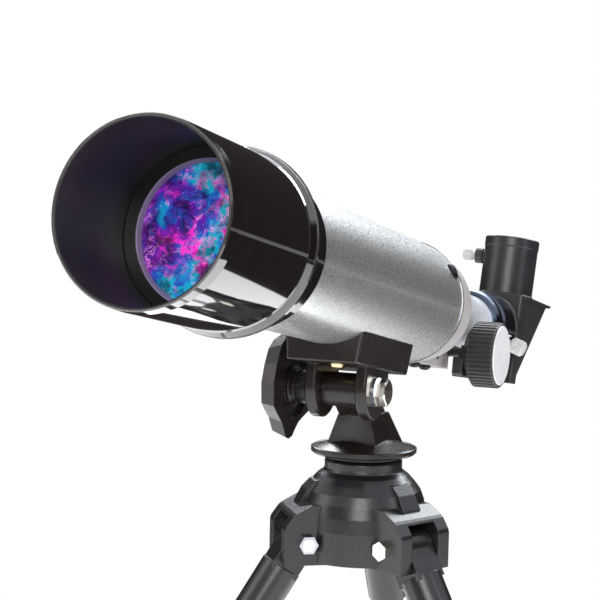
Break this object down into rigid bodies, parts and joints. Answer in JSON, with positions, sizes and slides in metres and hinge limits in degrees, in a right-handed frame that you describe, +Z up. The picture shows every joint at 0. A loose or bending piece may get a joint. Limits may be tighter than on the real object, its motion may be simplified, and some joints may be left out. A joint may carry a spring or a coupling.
{
  "type": "telescope",
  "caption": "Small refracting telescope with a dew shield, rack focuser and star diagonal, on a tilting head and a folding tabletop tripod.",
  "frame": {"origin": "on the tripod's turning axis, at the level of the table", "axes": "+Z up, +X across the tube towards the focus knob, -Y the way the telescope looks"},
  "size_m": [0.3087, 0.4416, 0.4008],
  "materials": {
    "shield_gloss": "gloss black, matt inside",
    "cell_black": "gloss",
    "lens_glass": "coated",
    "ring_black": "satin",
    "tube_silver": "metallic flake paint",
    "trim_dark": "polished",
    "baffle_black": "matt",
    "focuser_pale": "satin",
    "mount_black": "satin",
    "knob_black": "ribbed",
    "cap_silver": "satin",
    "drawtube_chrome": "polished",
    "collar_black": "gloss",
    "thumbscrew_white": "satin",
    "diagonal_black": "fine texture",
    "mirror_silver": "first surface",
    "steel": "brushed",
    "bolt_chrome": "polished",
    "screw_black": "black oxide",
    "brass": "turned",
    "hub_black": "satin",
    "leg_aluminium": "anodised",
    "foot_rubber": "matt"
  },
  "bodies": {
    "tripod_hub": {"tripod_hub": "hub_black", "hinge_bolts": "bolt_chrome", "hinge_nuts": "steel"},
    "turntable": {"tilt_head": "mount_black", "azimuth_bolt": "steel", "azimuth_nut": "steel", "azimuth_washer": "steel"},
    "optical_tube": {"objective_cell": "cell_black", "objective_crown": "lens_glass", "objective_flint": "lens_glass", "lens_retaining_ring": "ring_black", "main_tube": "tube_silver", "rear_trim_ring": "trim_dark", "light_baffle": "baffle_black", "tube_screws": "screw_black", "focuser_body": "focuser_pale", "pinion_bracket": "knob_black", "tongue_screws": "screw_black", "saddle": "mount_black", "saddle_screws": "brass", "altitude_bolt": "bolt_chrome", "bolt_washer": "steel"},
    "dew_shield": {"dew_shield": "shield_gloss"},
    "altitude_clamp": {"clamp_knob": "mount_black", "clamp_insert": "brass"},
    "drawtube": {"drawtube": "drawtube_chrome", "drawtube_rack": "knob_black", "drawtube_collar": "collar_black"},
    "focus_pinion": {"pinion_shaft": "steel", "pinion_gear": "brass", "shaft_clip": "steel", "focus_knob": "knob_black", "focus_knob_cap": "cap_silver"},
    "collar_screw": {"collar_thumbscrew": "thumbscrew_white"},
    "diagonal": {"diagonal_body": "diagonal_black", "diagonal_nose": "drawtube_chrome", "diagonal_cover": "diagonal_black", "diagonal_mirror": "mirror_silver", "cover_screws": "screw_black", "eyepiece_socket": "diagonal_black", "eyepiece_screw_nut": "knob_black"},
    "eyepiece_screw": {"eyepiece_thumbscrew": "thumbscrew_white"},
    "leg_1": {"leg_head_1": "hub_black", "leg_tube_1": "leg_aluminium", "leg_foot_1": "foot_rubber"},
    "leg_2": {"leg_head_2": "hub_black", "leg_tube_2": "leg_aluminium", "leg_foot_2": "foot_rubber"},
    "leg_3": {"leg_head_3": "hub_black", "leg_tube_3": "leg_aluminium", "leg_foot_3": "foot_rubber"}
  },
  "joints": [
    {"name": "azimuth_turn", "type": "hinge", "parent": "tripod_hub", "child": "turntable", "pos_m": [0, 0, 0.26], "axis": [0, 0, 1], "continuous": true},
    {"name": "altitude_tilt", "type": "hinge", "parent": "turntable", "child": "optical_tube", "pos_m": [0, -0.02274, 0.29054], "axis": [-1, 0, 0], "range_deg": [-30, 20]},
    {"name": "altitude_clamp_turn", "type": "hinge", "parent": "optical_tube", "child": "altitude_clamp", "pos_m": [0, -0.02274, 0.29054], "axis": [-1, 0, 0], "range_deg": [0, 270]},
    {"name": "dew_shield_slide", "type": "slide", "parent": "optical_tube", "child": "dew_shield", "axis": [0, -0.9825, 0.186], "range_m": [0, 0.018]},
    {"name": "focus_slide", "type": "slide", "parent": "optical_tube", "child": "drawtube", "axis": [0, 0.9825, -0.186], "range_m": [-0.031, 0.006]},
    {"name": "focus_knob_turn", "type": "hinge", "parent": "optical_tube", "child": "focus_pinion", "pos_m": [0, 0.09563, 0.29429], "axis": [1, 0, 0], "range_deg": [-120, 600]},
    {"name": "collar_screw_turn", "type": "hinge", "parent": "drawtube", "child": "collar_screw", "pos_m": [0.02225, 0.15062, 0.29234], "axis": [0.9272, -0.0697, -0.3681], "range_deg": [0, 540]},
    {"name": "diagonal_turn", "type": "hinge", "parent": "drawtube", "child": "diagonal", "pos_m": [0, 0.169, 0.29801], "axis": [0, 0.9825, -0.186], "continuous": true},
    {"name": "eyepiece_screw_turn", "type": "hinge", "parent": "diagonal", "child": "eyepiece_screw", "pos_m": [-0.01793, 0.20279, 0.33242], "axis": [-0.9986, 0.0097, 0.0514], "range_deg": [0, 540]},
    {"name": "leg_1_fold", "type": "hinge", "parent": "tripod_hub", "child": "leg_1", "pos_m": [0.02467, -0.01098, 0.226], "axis": [0.4067, 0.9135, 0], "range_deg": [0, 30]},
    {"name": "leg_2_fold", "type": "hinge", "parent": "tripod_hub", "child": "leg_2", "pos_m": [-0.00282, 0.02685, 0.226], "axis": [-0.9945, -0.1045, 0], "range_deg": [0, 30]},
    {"name": "leg_3_fold", "type": "hinge", "parent": "tripod_hub", "child": "leg_3", "pos_m": [-0.02184, -0.01587, 0.226], "axis": [0.5878, -0.809, 0], "range_deg": [0, 30]}
  ],
  "couplings": [
    {"joint": "focus_knob_turn", "follows": "focus_slide", "rad_per_m": -333.33}
  ]
}
